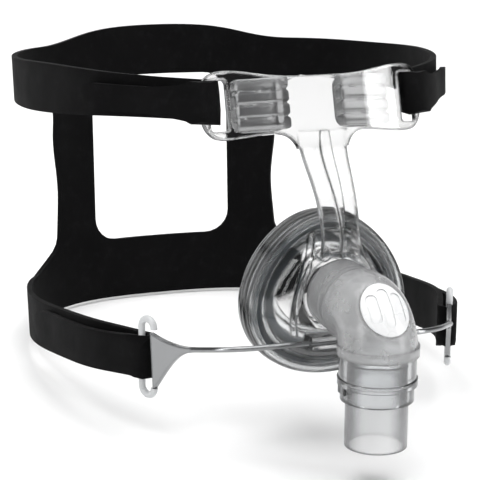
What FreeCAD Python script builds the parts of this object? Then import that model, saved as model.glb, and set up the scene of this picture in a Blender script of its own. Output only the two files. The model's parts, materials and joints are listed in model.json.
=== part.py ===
"""Nasal breathing mask with its forehead support, glider, swivel elbow and headgear.

Millimetres, +Z up, +Y towards the back of the wearer's head, -Y out of the face.
The origin is the middle of the seal's opening, where the nose goes in.
"""
import FreeCAD, Part
import math
import os

V = FreeCAD.Vector
X_AXIS = V(1, 0, 0)
Y_AXIS = V(0, 1, 0)
Z_AXIS = V(0, 0, 1)

# Clearances
RUNNING_GAP = 0.08           # radial clearance of a turning or sliding fit
SEAT_GAP = 0.05              # between fixed rigid pieces that fit into each other
SOFT_GAP = 0.35              # space left round a soft piece

# Hose end and the swivelling elbow
TUBE_OUTER_R = 11.0          # 22 mm hose connector
TUBE_WALL = 1.4
TUBE_SHOWING = 16.8          # taper length that the hose goes on, below the collar
TUBE_SHOULDER_GAP = 0.2      # between the collar and the shoulder of the tube
TUBE_NECK_R = 10.6           # the part that turns in the collar
TUBE_NECK_LENGTH = 14.0
SOCKET_Z = 3.0               # height of the air outlet's axis
SPIGOT_R = 11.0              # outlet tube of the frame, on which the elbow turns
SPIGOT_WALL = 1.7
SPIGOT_LENGTH = 13.0
BEAD_R = 0.4                 # snap bead of a swivel
BEAD_FROM_END = 3.0
SHELL_TO_ELBOW = 0.8
ELBOW_WALL = 1.9
ELBOW_REACH = 23.0           # from the shell's front to the bend's centre
ELBOW_BEND_R = 12.0
ELBOW_BODY_R = 13.8
ELBOW_RIM_R = 14.4
ELBOW_RIM_HEIGHT = 3.4
ELBOW_NECK = 6.0             # straight length between the socket and the bend
COLLAR_BODY_R = 13.5
COLLAR_BODY_HEIGHT = 8.2
COLLAR_SPIGOT_R = 12.4
COLLAR_SPIGOT_HEIGHT = 2.2
COLLAR_FLANGE_R = 14.0
COLLAR_FLANGE_HEIGHT = 2.4
COLLAR_STEP_R = 12.9
COLLAR_STEP_HEIGHT = 5.6
LUG_LENGTH = 5.0
LUG_STAND_OUT = 0.8
VENT_LENGTH = 21.0           # oval vent on the outside of the bend
VENT_WIDTH = 17.0
VENT_LOBES = 3
VENT_LOBE_WIDTH = 3.6
VENT_LOBE_DEPTH = 0.4
VENT_CAP_THICKNESS = 1.2
VENT_PROUD = 0.3
DIFFUSER_THICKNESS = 1.1

# Mask shell and seal
SHELL_HALF_WIDTH = 26.2
SHELL_HALF_HEIGHT = 25.8
SHELL_TAPER = 0.16           # how much narrower the top of the outline is
SHELL_WALL = 2.0
SHELL_BACK_Y = -24.0
SHELL_DEPTH = 13.0
OUTLET_BOSS = 2.8            # the dome ends this much wider than the spigot
RIM_WIDTH = 2.6
RIM_THICKNESS = 2.4
RIDGE_WIDTH = 1.8
RIDGE_HEIGHT = 2.0
SEAL_WALL = 1.5
SEAL_LIP = 1.6
SEAL_FACE_Y = -4.0
SEAL_BULGE = 0.7
SEAL_OPENING_HALF_WIDTH = 16.5
SEAL_OPENING_HALF_HEIGHT = 17.5
CUSHION_THICKNESS = 7.5
CUSHION_SHARE = 0.6          # share of the seal's depth behind the shell that the inner ring fills
PORT_R = 2.4
PORT_HEIGHT = 1.4
PORT_X = 6.2
PORT_Z = 18.0

# Forehead support: stem, cross plate and pads
PLATE_HALF_WIDTH = 43.0
PLATE_HEIGHT = 25.0
PLATE_DIP = 3.6              # how far the top edge dips in the middle
PLATE_THICKNESS = 3.0
PLATE_CURVE_R = 128.0
PLATE_LEAN = 17.0            # degrees, the top leans back with the forehead
PLATE_MID_Y = -15.6
PLATE_MID_Z = 70.6
STRAP_BAR = 2.7              # bar at the plate's end that a strap goes round
SLOT_WIDTH = 6.4
SLOT_HEIGHT = 18.6
STEM_TOP_HALF_WIDTH = 9.6
STEM_FOOT_HALF_WIDTH = 7.2
STEM_THICKNESS = 3.0
STEM_CLEAR = 1.2             # space left over the turning elbow
RIB_WIDTH = 2.6
RIB_HEIGHT = 2.4
PAD_INNER_X = 9.0
PAD_OUTER_X = 30.0
PAD_HEIGHT = 20.0
PAD_DEPTH = 12.0
PAD_RIBS = 4
PAD_GROOVE = 1.4

# Glider: bowed rod with a fan plate at each end, and the clips hooked on the fans
ROD_R = 1.0
ROD_Y = -39.6
ROD_Z = -13.8
GLIDER_TRAVEL = 10.0         # how far the rod slides to either side
ROD_TILT = 12.0              # degrees, the ends sit lower than the middle
FAN_JOIN_X = 51.0
FAN_JOIN_Y = -24.6
FAN_HEADING = 63.4           # degrees in plan from the wearer's side
FAN_LENGTH = 22.4
FAN_ABOVE = 5.8              # tip above and below the rod's line
FAN_BELOW = 16.4
FAN_THICKNESS = 1.8
BRACKET_HALF_LENGTH = 12.0
BRACKET_STOP = 5.0           # straight rod left outside the bracket at the end of the travel
BRACKET_WALL = 1.2
BRACKET_MOUTH = 1.7
CLIP_WIRE_R = 1.3
CLIP_HOOK_R = 3.3
CLIP_END_GAP = 0.15

# Headgear
STRAP_THICKNESS = 2.4
LAYER_GAP = 1.3              # between a band and its folded tail, where the hook tab sits
HEAD_TOP_Z = 73.0            # level of the upper plan outline
HEAD_LOW_Z = -37.0           # level of the lower plan outline
HEAD_TOP_PLAN = [(62.5, 20.0), (82.0, 69.0), (86.0, 104.0), (76.0, 149.0), (46.0, 182.0), (0.0, 191.0)]
HEAD_LOW_PLAN = [(70.5, 24.0), (77.5, 64.0), (80.0, 99.0), (72.0, 144.0), (46.0, 175.0), (0.0, 184.0)]
TOP_BAND_UPPER = [(-20.0, 75.6), (16.0, 76.6), (73.0, 75.2), (130.0, 73.0), (205.0, 74.0)]
TOP_BAND_LOWER = [(-20.0, 60.6), (16.0, 60.6), (39.0, 59.2), (88.0, 54.2), (150.0, 51.5), (205.0, 51.0)]
LOW_STRAP_UPPER = [(-10.0, -17.4), (14.0, -18.0), (39.0, -20.5), (71.0, -25.0), (120.0, -31.0), (205.0, -33.0)]
LOW_STRAP_LOWER = [(-10.0, -35.0), (9.0, -36.0), (34.0, -39.5), (64.0, -44.0), (120.0, -51.5), (205.0, -55.5)]
PANEL_EDGE = [(68.0, 54.0), (58.5, 47.0), (54.0, 28.0), (52.4, 3.0), (53.4, -19.0), (59.5, -29.0), (74.0, -35.0)]
PANEL_FRONT_Y = 120.0
WINDOW_HALF_WIDTH = 33.5
WINDOW_TOP_Z = 51.0
WINDOW_BOTTOM_Z = -27.0
WINDOW_CORNER_R = 11.0
TOP_TAIL_LENGTH = 60.0
LOW_TAIL_LENGTH = 92.0
TOP_TAIL_TIP = (44.0, 68.4)  # y and z of the rounded tip
LOW_TAIL_TIP = (86.0, -36.6)
TAIL_HEIGHT = 15.6
LOOP_LEG = 9.0
TAB_THICKNESS = 0.8
TAB_LENGTH = 20.0
TAB_HEIGHT = 7.0
TAB_FROM_TIP = 14.0

# Places worked out from the sizes above
SHELL_FRONT_Y = SHELL_BACK_Y - SHELL_DEPTH
CUSHION_DEPTH = CUSHION_SHARE * (SEAL_FACE_Y - SHELL_BACK_Y)
SPIGOT_END_Y = SHELL_FRONT_Y - SPIGOT_LENGTH
BEND_Y = SHELL_FRONT_Y - ELBOW_REACH
BEND_Z = SOCKET_Z - ELBOW_BEND_R
TUBE_AXIS_Y = BEND_Y - ELBOW_BEND_R
COLLAR_BOTTOM_Z = BEND_Z - COLLAR_BODY_HEIGHT - COLLAR_FLANGE_HEIGHT - COLLAR_STEP_HEIGHT
TUBE_SHOULDER_Z = COLLAR_BOTTOM_Z - TUBE_SHOULDER_GAP
TUBE_BOTTOM_Z = TUBE_SHOULDER_Z - TUBE_SHOWING
FAN_DIRECTION = V(math.cos(math.radians(FAN_HEADING)), math.sin(math.radians(FAN_HEADING)), 0)
ROD_DROP = math.tan(math.radians(ROD_TILT))
ROD_STRAIGHT_HALF = BRACKET_HALF_LENGTH + GLIDER_TRAVEL + BRACKET_STOP
CLIP_BAR_AT = FAN_LENGTH + 2 * CLIP_HOOK_R - CLIP_WIRE_R
PLATE_BAR_R = math.hypot(STRAP_BAR, PLATE_THICKNESS + STRAP_BAR * PLATE_HALF_WIDTH / PLATE_CURVE_R) / 2


# General helpers

def egg_wire(y, half_width, half_height, centre_z=0.0, taper=SHELL_TAPER, count=20):
    """Closed smooth egg outline, narrower at the top, in the plane at y."""
    points = []
    for step in range(count):
        angle = 2 * math.pi * step / count
        across = half_width * math.cos(angle) * (1 - taper * math.sin(angle))
        points.append(V(across, y, centre_z + half_height * math.sin(angle)))
    curve = Part.BSplineCurve()
    curve.interpolate(Points=points, PeriodicFlag=True)
    return Part.Wire([curve.toShape()])


def egg_loft(sections):
    """Solid through egg outlines, each given as (y, half width, half height, centre z, taper)."""
    return Part.makeLoft([egg_wire(*section) for section in sections], True, False)


def egg_block(y_low, y_high, half_width, half_height):
    """Straight egg-shaped block between two planes."""
    return Part.Face(egg_wire(y_low, half_width, half_height)).extrude(V(0, y_high - y_low, 0))


def smooth_edge(points):
    """Open smooth edge through points."""
    curve = Part.BSplineCurve()
    curve.interpolate(Points=points)
    return curve.toShape()


def line(start, end):
    """Straight edge."""
    return Part.LineSegment(start, end).toShape()


def outline_between(upper, lower):
    """Closed wire from two smooth edges given as point lists that run the same way."""
    return Part.Wire([smooth_edge(upper), line(upper[-1], lower[-1]), smooth_edge(lower[::-1]),
                      line(lower[0], upper[0])])


def mirror_x(shape):
    """Mirror image in the wearer's middle plane."""
    return shape.mirror(V(0, 0, 0), X_AXIS)


def rounded_block(x_range, y_range, z_range, radius, direction):
    """Block with its four edges along one direction rounded."""
    box = Part.makeBox(x_range[1] - x_range[0], y_range[1] - y_range[0], z_range[1] - z_range[0],
                       V(x_range[0], y_range[0], z_range[0]))
    edges = [edge for edge in box.Edges if abs(edge.tangentAt(edge.FirstParameter).dot(direction)) > 0.99]
    return box.makeFillet(radius, edges)


def save(name, shape):
    """Write one sub-part."""
    shape.exportStep("parts/" + name + ".step")


# Mask frame: shell, outlet, seal rim, glider channel, stem and forehead plate in one moulding

def shell_sections(inset):
    """Egg outlines of the shell's dome, set in by a wall, or out where inset is negative."""
    width = SHELL_HALF_WIDTH - inset
    height = SHELL_HALF_HEIGHT - inset
    outlet = SPIGOT_R + OUTLET_BOSS - inset
    return [
        (SHELL_BACK_Y, width, height, 0.0, SHELL_TAPER),
        (SHELL_BACK_Y - 0.38 * SHELL_DEPTH, 0.93 * width, 0.93 * height, 0.1 * SOCKET_Z, SHELL_TAPER),
        (SHELL_BACK_Y - 0.72 * SHELL_DEPTH, 0.73 * width, 0.75 * height, 0.5 * SOCKET_Z, 0.6 * SHELL_TAPER),
        (SHELL_FRONT_Y + inset, outlet, outlet, SOCKET_Z, 0.0),
    ]


def outlet_cylinder(radius, y_from, y_to):
    """Cylinder on the outlet's axis, running forward."""
    return Part.makeCylinder(radius, y_from - y_to, V(0, y_from, SOCKET_Z), V(0, -1, 0))


def swivel_ring(radius, thickness):
    """Ring for the snap bead or its groove on the outlet."""
    return Part.makeTorus(radius, thickness, V(0, SPIGOT_END_Y + BEAD_FROM_END, SOCKET_Z), Y_AXIS)


def plate_blank():
    """Curved forehead plate before its place: outline in X and Z, bent about an upright axis."""
    half = PLATE_HALF_WIDTH
    top = PLATE_HEIGHT / 2
    low = -PLATE_HEIGHT / 2
    right = [V(0, 0, top - PLATE_DIP), V(0.42 * half, 0, top - 0.75 * PLATE_DIP), V(0.8 * half, 0, top),
             V(0.93 * half, 0, top - 1.0), V(0.99 * half, 0, top - 5.0), V(half, 0, 0), V(0.98 * half, 0, low + 5.0),
             V(0.9 * half, 0, low + 0.8), V(0.78 * half, 0, low), V(0.5 * half, 0, low + 0.8),
             V(1.5 * STEM_TOP_HALF_WIDTH, 0, low + 0.4), V(STEM_TOP_HALF_WIDTH, 0, low - 5.0)]
    left = [V(-point.x, 0, point.z) for point in right[::-1]]
    wire = Part.Wire([smooth_edge(left + right[1:]), line(right[-1], left[0])])
    block = Part.Face(wire).extrude(V(0, 30, 0))
    block.translate(V(0, -5, 0))
    centre = V(0, PLATE_CURVE_R, -50)
    bent = Part.makeCylinder(PLATE_CURVE_R, 100, centre)
    bent = bent.cut(Part.makeCylinder(PLATE_CURVE_R - PLATE_THICKNESS, 100, centre))
    return bent.common(block)


def lean(shape):
    """Put a piece of the forehead plate in its leaning place."""
    placed = shape.copy()
    placed.rotate(V(0, 0, 0), X_AXIS, -PLATE_LEAN)
    placed.translate(V(0, PLATE_MID_Y, PLATE_MID_Z))
    return placed


def strap_slots():
    """The two upright slots of the forehead plate."""
    outer = PLATE_HALF_WIDTH - STRAP_BAR
    slot = rounded_block((outer - SLOT_WIDTH, outer), (-5, 30), (-SLOT_HEIGHT / 2, SLOT_HEIGHT / 2),
                         1.2, Y_AXIS)
    return slot.fuse(mirror_x(slot))


def stem_line():
    """Front line of the stem in the middle plane, from the plate down to the outlet."""
    return [(PLATE_MID_Y - 3.2, PLATE_MID_Z - 10.6), (-21.4, 52.4), (-27.2, 45.4), (-33.2, 38.0),
            (-37.8, 28.6), (SHELL_FRONT_Y - 2.0, 22.0),
            (SHELL_FRONT_Y - 1.4, SOCKET_Z + SPIGOT_R + RUNNING_GAP + ELBOW_WALL + STEM_CLEAR)]


def stem_slab(forward, behind, half_width_top, half_width_foot):
    """Slab that follows the stem's line, cut to a front outline that narrows downwards."""
    front = [V(-60, y - forward, z) for y, z in stem_line()]
    back = [V(-60, y + behind, z - 0.35 * behind) for y, z in stem_line()]
    slab = Part.Face(outline_between(front, back)).extrude(V(120, 0, 0))
    top_z = stem_line()[0][1] + 2
    low_z = stem_line()[-1][1] - 4
    middle_z = 36.0
    right = [V(half_width_top, -70, top_z), V(half_width_foot + 0.6, -70, middle_z + 8),
             V(half_width_foot, -70, middle_z), V(half_width_foot * 1.05, -70, low_z)]
    left = [V(-point.x, -70, point.z) for point in right]
    outline = Part.Face(outline_between(right, left)).extrude(V(0, 80, 0))
    return slab.common(outline)


def shell_ridges():
    """Two raised ridges that spread from the stem's foot down round the outlet."""
    outer = [V(7.4, -60, 30), V(10.5, -60, 20), V(15.6, -60, 8), V(17.6, -60, -4), V(16.4, -60, -13)]
    inner = [V(point.x - RIDGE_WIDTH, -60, point.z) for point in outer]
    lip_front = SHELL_BACK_Y - RIM_THICKNESS - 2 * SOFT_GAP - SEAL_LIP
    strip = Part.Face(outline_between(outer, inner)).extrude(V(0, 60 + lip_front, 0))
    ridge = strip.common(egg_loft(shell_sections(-RIDGE_HEIGHT)))
    return [ridge, mirror_x(ridge)]


def glider_bracket():
    """Channel below the outlet that the glider's rod snaps into and slides through."""
    outer = ROD_R + RUNNING_GAP + BRACKET_WALL
    return rounded_block((-BRACKET_HALF_LENGTH, BRACKET_HALF_LENGTH), (ROD_Y - outer, SHELL_BACK_Y - 5),
                         (ROD_Z - outer, ROD_Z + outer), 0.6, X_AXIS)


def glider_channel():
    """Space of the rod in its bracket, with the narrower mouth that it snaps through."""
    length = 2 * BRACKET_HALF_LENGTH + 10
    bore = Part.makeCylinder(ROD_R + RUNNING_GAP, length, V(-length / 2, ROD_Y, ROD_Z), X_AXIS)
    mouth = Part.makeBox(length, 10, BRACKET_MOUTH, V(-length / 2, ROD_Y - 10, ROD_Z - BRACKET_MOUTH / 2))
    return bore.fuse(mouth)


def mask_frame():
    """The clear moulding that everything else hangs on."""
    outer = egg_loft(shell_sections(0.0))
    rim = egg_block(SHELL_BACK_Y - RIM_THICKNESS, SHELL_BACK_Y, SHELL_HALF_WIDTH + RIM_WIDTH,
                    SHELL_HALF_HEIGHT + RIM_WIDTH)
    spigot = outlet_cylinder(SPIGOT_R, SHELL_FRONT_Y + SHELL_WALL, SPIGOT_END_Y)
    bead = swivel_ring(SPIGOT_R, BEAD_R)
    stem = stem_slab(0.0, STEM_THICKNESS, STEM_TOP_HALF_WIDTH, STEM_FOOT_HALF_WIDTH)
    rib = stem_slab(RIB_HEIGHT, STEM_THICKNESS / 2, RIB_WIDTH / 2, RIB_WIDTH / 2)
    ports = [Part.makeCylinder(PORT_R, 14, V(side * PORT_X, SHELL_BACK_Y - 3, PORT_Z), V(0, -1, 0)).common(
        egg_loft(shell_sections(-PORT_HEIGHT))) for side in (-1, 1)]
    solid = outer.fuse([rim, spigot, bead, stem, rib, glider_bracket()] + shell_ridges() + ports)
    inner = egg_loft(shell_sections(SHELL_WALL))
    mouth = egg_block(SHELL_BACK_Y - 0.5, SHELL_BACK_Y + 1, SHELL_HALF_WIDTH - SHELL_WALL,
                      SHELL_HALF_HEIGHT - SHELL_WALL)
    bore = outlet_cylinder(SPIGOT_R - SPIGOT_WALL, SHELL_FRONT_Y + 2 * SHELL_WALL, SPIGOT_END_Y - 1)
    solid = solid.cut([inner, mouth, bore, glider_channel()])
    plate = lean(plate_blank().cut(strap_slots()))
    return solid.fuse(plate)


# Soft pieces of the mask

def seal_sections(inset):
    """Egg outlines of the seal from the lip round the rim to the face side."""
    width = SHELL_HALF_WIDTH + RIM_WIDTH + SOFT_GAP + SEAL_WALL - inset
    height = SHELL_HALF_HEIGHT + RIM_WIDTH + SOFT_GAP + SEAL_WALL - inset
    front = SHELL_BACK_Y - RIM_THICKNESS - SOFT_GAP - SEAL_LIP
    depth = SEAL_FACE_Y - front
    lip = SEAL_LIP if inset else 0.0
    wall = SEAL_WALL if inset else 0.0
    return [
        (front + lip, width, height, 0.0, SHELL_TAPER),
        (front + 0.4 * depth, width + SEAL_BULGE, height + SEAL_BULGE, 0.0, SHELL_TAPER),
        (front + 0.78 * depth, width - 1.8, height - 1.8, 0.0, SHELL_TAPER),
        (SEAL_FACE_Y - wall, width - 6.0, height - 6.0, 0.0, SHELL_TAPER),
    ]


def seal_cushion():
    """Clear silicone seal: it grips the frame's rim and rolls in towards the nose."""
    body = egg_loft(seal_sections(0.0))
    hollow = egg_loft(seal_sections(SEAL_WALL))
    lip_hole = egg_block(SHELL_BACK_Y - 8, SHELL_BACK_Y, SHELL_HALF_WIDTH + SOFT_GAP, SHELL_HALF_HEIGHT + SOFT_GAP)
    face_hole = egg_block(SEAL_FACE_Y - 4, SEAL_FACE_Y + 2, SEAL_OPENING_HALF_WIDTH, SEAL_OPENING_HALF_HEIGHT)
    return body.cut([hollow, lip_hole, face_hole])


def inner_cushion():
    """Soft ring that lies in the seal behind the frame's rim and backs it against the face."""
    width = SHELL_HALF_WIDTH + RIM_WIDTH - 1.0
    height = SHELL_HALF_HEIGHT + RIM_WIDTH - 1.0
    back = SHELL_BACK_Y + SOFT_GAP
    ring = egg_block(back, back + CUSHION_DEPTH, width, height)
    hole = egg_block(back - 1, back + CUSHION_DEPTH + 1, width - CUSHION_THICKNESS, height - CUSHION_THICKNESS)
    return ring.cut(hole)


def forehead_pad():
    """Right forehead pad: ribbed front against the plate, rounded back against the forehead."""
    centre = V(0, PLATE_CURVE_R, -50)
    seat = Part.makeCylinder(PLATE_CURVE_R - PLATE_THICKNESS - SOFT_GAP, 100, centre)
    block = rounded_block((PAD_INNER_X, PAD_OUTER_X), (0, PLATE_THICKNESS + PAD_DEPTH),
                          (-PAD_HEIGHT / 2, PAD_HEIGHT / 2), 3.0, Z_AXIS)
    pad = block.common(seat)
    pitch = PAD_HEIGHT / PAD_RIBS
    for step in range(1, PAD_RIBS):
        level = -PAD_HEIGHT / 2 + step * pitch
        groove = Part.makeBox(60, PLATE_THICKNESS + 2 * PAD_GROOVE + 1, 1.2, V(0, 0, level - 0.6))
        pad = pad.cut(groove)
    return lean(pad)


# Elbow assembly

def bend_section(radius, above):
    """Round section where the bend starts, flat where it would pass the bend's centre."""
    reach = ELBOW_BEND_R - above
    if radius < reach:
        circle = Part.Circle(V(0, BEND_Y, SOCKET_Z), V(0, 1, 0), radius)
        return Part.Face(Part.Wire(circle.toShape()))
    half = math.sqrt(radius ** 2 - reach ** 2)
    low_left = V(-half, BEND_Y, BEND_Z + above)
    low_right = V(half, BEND_Y, BEND_Z + above)
    crown = V(0, BEND_Y, SOCKET_Z + radius)
    return Part.Face(Part.Wire([Part.Arc(low_left, crown, low_right).toShape(), line(low_right, low_left)]))


def bend(radius, above=0.0):
    """Quarter bend of a round tube, from the outlet's axis down to the hose's axis."""
    return bend_section(radius, above).revolve(V(0, BEND_Y, BEND_Z), X_AXIS, 90)


def neck(radius, length, above=0.0):
    """Straight start of the bend, on the socket's side."""
    return bend_section(radius, above).extrude(V(0, length, 0))


def hose_cylinder(radius, z_top, z_bottom):
    """Cylinder on the hose's axis."""
    return Part.makeCylinder(radius, z_top - z_bottom, V(0, TUBE_AXIS_Y, z_bottom))


def on_vent(shape):
    """Turn a shape from the top of the hose's axis to the middle of the bend's outer side."""
    placed = shape.copy()
    placed.translate(V(0, BEND_Y, BEND_Z))
    placed.rotate(V(0, BEND_Y, BEND_Z), X_AXIS, 45)
    return placed


def vent_block(inset):
    """Oval prism through the outer wall of the bend."""
    ellipse = Part.Ellipse(V(0, 0, 0), VENT_LENGTH / 2 - inset, VENT_WIDTH / 2 - inset)
    block = Part.Face(Part.Wire([ellipse.toShape()])).extrude(V(0, 0, ELBOW_BODY_R + 4))
    block.translate(V(0, 0, ELBOW_BEND_R + 2))
    block.rotate(V(0, 0, 0), Z_AXIS, 90)
    return on_vent(block)


def vent_lobes():
    """Long rounded lobes pressed into the vent cap, side by side."""
    lobes = []
    pitch = VENT_LOBE_WIDTH + 0.9
    for step in range(VENT_LOBES):
        x = (step - (VENT_LOBES - 1) / 2) * pitch
        half = VENT_LENGTH * (0.36 if x == 0 else 0.27)
        lobe = rounded_block((x - VENT_LOBE_WIDTH / 2, x + VENT_LOBE_WIDTH / 2), (-half, half),
                             (ELBOW_BEND_R + 4, 2 * ELBOW_BODY_R + 4),
                             VENT_LOBE_WIDTH / 2 - 0.05, Z_AXIS)
        lobes.append(on_vent(lobe))
    return lobes


def elbow():
    """Frosted elbow: socket that turns on the frame's outlet, bend, rim and vent hole."""
    socket_r = SPIGOT_R + RUNNING_GAP
    start = SHELL_FRONT_Y - SHELL_TO_ELBOW
    inner_r = ELBOW_BODY_R - ELBOW_WALL
    body = bend(ELBOW_BODY_R).fuse([
        neck(ELBOW_BODY_R, ELBOW_NECK),
        outlet_cylinder(socket_r + ELBOW_WALL, start, BEND_Y + ELBOW_NECK),
        hose_cylinder(ELBOW_RIM_R, BEND_Z + ELBOW_RIM_HEIGHT, BEND_Z)])
    hollow = bend(inner_r, ELBOW_WALL).fuse([
        neck(inner_r, ELBOW_NECK - ELBOW_WALL, ELBOW_WALL),
        outlet_cylinder(socket_r, start + 1, BEND_Y + ELBOW_NECK / 2),
        hose_cylinder(COLLAR_SPIGOT_R + SEAT_GAP, BEND_Z + COLLAR_SPIGOT_HEIGHT + SEAT_GAP, BEND_Z - 1),
        swivel_ring(SPIGOT_R, BEAD_R + RUNNING_GAP)])
    return body.cut([hollow, vent_block(0.0)])


def vent_cap():
    """Oval cap flush in the bend, with the lobes that the breath leaves through."""
    outer = ELBOW_BODY_R + VENT_PROUD
    cap = vent_block(SEAT_GAP).common(bend(outer).cut(bend(outer - VENT_CAP_THICKNESS)))
    skin = bend(outer + 1).cut(bend(outer - VENT_LOBE_DEPTH))
    return cap.cut([lobe.common(skin) for lobe in vent_lobes()])


def diffuser_pad():
    """Fibre pad behind the vent cap."""
    outer = ELBOW_BODY_R + VENT_PROUD - VENT_CAP_THICKNESS - SEAT_GAP
    pad = bend(outer, ELBOW_WALL).cut(bend(outer - DIFFUSER_THICKNESS, ELBOW_WALL))
    return vent_block(2 * SEAT_GAP).common(pad)


def swivel_collar():
    """Clear collar under the elbow, in which the hose connector turns."""
    top = BEND_Z
    flange_top = top - COLLAR_BODY_HEIGHT
    step_top = flange_top - COLLAR_FLANGE_HEIGHT
    solid = hose_cylinder(COLLAR_BODY_R, top, flange_top).fuse([
        hose_cylinder(COLLAR_SPIGOT_R, top + COLLAR_SPIGOT_HEIGHT, top),
        hose_cylinder(COLLAR_FLANGE_R, flange_top, step_top),
        hose_cylinder(COLLAR_STEP_R, step_top, COLLAR_BOTTOM_Z)])
    for side in (-1, 1):
        x_mid = side * COLLAR_STEP_R
        lug = Part.makeBox(2 * LUG_STAND_OUT, LUG_LENGTH, 2.6,
                           V(x_mid - LUG_STAND_OUT, TUBE_AXIS_Y - LUG_LENGTH / 2, step_top - 2.6))
        solid = solid.fuse(lug)
    bore = hose_cylinder(TUBE_NECK_R + RUNNING_GAP, top + COLLAR_SPIGOT_HEIGHT + 1, COLLAR_BOTTOM_Z - 1)
    groove = Part.makeTorus(TUBE_NECK_R, BEAD_R + RUNNING_GAP, V(0, TUBE_AXIS_Y, flange_top - 1), Z_AXIS)
    return solid.cut([bore, groove])


def connector_tube():
    """22 mm hose connector that turns in the collar."""
    top = TUBE_SHOULDER_Z + TUBE_NECK_LENGTH
    bead_z = BEND_Z - COLLAR_BODY_HEIGHT - 1
    tube = hose_cylinder(TUBE_OUTER_R, TUBE_SHOULDER_Z, TUBE_BOTTOM_Z).fuse([
        hose_cylinder(TUBE_NECK_R, top, TUBE_SHOULDER_Z),
        Part.makeTorus(TUBE_NECK_R, BEAD_R, V(0, TUBE_AXIS_Y, bead_z), Z_AXIS)])
    return tube.cut(hose_cylinder(TUBE_OUTER_R - TUBE_WALL, top + 1, TUBE_BOTTOM_Z - 1))


# Glider

def fan_point(along, up, z_start):
    """Point of the right fan's middle plane: distance from the join, height over the rod's line."""
    drop = along * FAN_DIRECTION.y * ROD_DROP
    return V(FAN_JOIN_X, FAN_JOIN_Y, 0) + FAN_DIRECTION * along + V(0, 0, z_start - drop + up)


def fan_start_z():
    """Height of the rod's line where the fan begins."""
    return ROD_Z - (FAN_JOIN_Y - ROD_Y) * ROD_DROP


def glider_rod_half():
    """Right half of the rod: straight through the bracket, then swept back to the fan."""
    side = math.atan2(FAN_JOIN_Y - ROD_Y, FAN_JOIN_X - ROD_STRAIGHT_HALF - 11.0)
    heading = V(math.cos(side), math.sin(side), 0)
    corner = V(FAN_JOIN_X, ROD_Y, 0) - V((FAN_JOIN_Y - ROD_Y) / math.tan(side), 0, 0)
    tangent = corner.x - ROD_STRAIGHT_HALF
    start = V(0, ROD_Y, 0)
    arc_start = V(ROD_STRAIGHT_HALF, ROD_Y, 0)
    arc_end = corner + heading * tangent
    radius = tangent / math.tan(side / 2)
    arc_middle = V(ROD_STRAIGHT_HALF + radius * math.sin(side / 2), ROD_Y + radius * (1 - math.cos(side / 2)), 0)
    path = Part.Wire([line(start, arc_start), Part.Arc(arc_start, arc_middle, arc_end).toShape(),
                      line(arc_end, V(FAN_JOIN_X, FAN_JOIN_Y, 0) + heading * 1.5)])
    ring = Part.Wire([Part.Circle(start, X_AXIS, ROD_R).toShape()])
    rod = path.makePipeShell([ring], True, False)
    rod.rotate(V(0, ROD_Y, 0), X_AXIS, -ROD_TILT)
    rod.translate(V(0, 0, ROD_Z))
    return rod


def fan_plate(spare=0.0):
    """Right fan: flares from the rod to the tall edge that carries the clip; spare grows it all round."""
    z0 = fan_start_z()
    upper = [fan_point(0, 0.9 + spare, z0), fan_point(0.35 * FAN_LENGTH, 1.3 + spare, z0),
             fan_point(0.7 * FAN_LENGTH, 3.2 + spare, z0), fan_point(FAN_LENGTH + spare, FAN_ABOVE + spare, z0)]
    lower = [fan_point(0, -0.9 - spare, z0), fan_point(0.3 * FAN_LENGTH, -2.6 - spare, z0),
             fan_point(0.62 * FAN_LENGTH, -8.2 - spare, z0),
             fan_point(0.94 * FAN_LENGTH + spare, -FAN_BELOW - spare, z0)]
    normal = V(-FAN_DIRECTION.y, FAN_DIRECTION.x, 0)
    plate = Part.Face(outline_between(upper, lower)).extrude(normal * (FAN_THICKNESS + 2 * spare))
    plate.translate(normal * (-FAN_THICKNESS / 2 - spare))
    return plate


def glider():
    """Polished steel rod and its two fans, one piece."""
    half = glider_rod_half().fuse(fan_plate())
    return half.fuse(mirror_x(half)).removeSplitter()


def clip_levels():
    """Heights of the two hook centres of the clip."""
    z0 = fan_start_z() - FAN_LENGTH * FAN_DIRECTION.y * ROD_DROP
    return z0 + FAN_ABOVE + 1.6, z0 - FAN_BELOW + 1.0


def strap_clip():
    """Right clip: a bar for the strap whose two ends hook back to the fan's tips."""
    upper_z, lower_z = clip_levels()
    inner_at = CLIP_BAR_AT - 2 * CLIP_HOOK_R
    base = V(FAN_JOIN_X, FAN_JOIN_Y, 0)
    bar_foot = base + FAN_DIRECTION * CLIP_BAR_AT
    centre = base + FAN_DIRECTION * (CLIP_BAR_AT - CLIP_HOOK_R)
    low_bar = V(bar_foot.x, bar_foot.y, lower_z)
    high_bar = V(bar_foot.x, bar_foot.y, upper_z)
    inner_foot = base + FAN_DIRECTION * inner_at
    high_in = V(inner_foot.x, inner_foot.y, upper_z)
    low_in = V(inner_foot.x, inner_foot.y, lower_z)
    crown = V(centre.x, centre.y, upper_z + CLIP_HOOK_R)
    heel = V(centre.x, centre.y, lower_z - CLIP_HOOK_R)
    path = Part.Wire([Part.Arc(low_in, heel, low_bar).toShape(), line(low_bar, high_bar),
                      Part.Arc(high_bar, crown, high_in).toShape()])
    ring = Part.Wire([Part.Circle(low_in, Z_AXIS, CLIP_WIRE_R).toShape()])
    return path.makePipeShell([ring], True, False).cut(fan_plate(CLIP_END_GAP))


# Headgear

def side_prism(upper, lower):
    """Prism across the head from two (y, z) edge lines."""
    top = [V(-120, y, z) for y, z in upper]
    bottom = [V(-120, y, z) for y, z in lower]
    return Part.Face(outline_between(top, bottom)).extrude(V(240, 0, 0))


def bar_offset(bar_r):
    """Distance from a bar's middle to the middle of a strap layer that goes round it."""
    return bar_r + SOFT_GAP + STRAP_THICKNESS / 2


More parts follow.
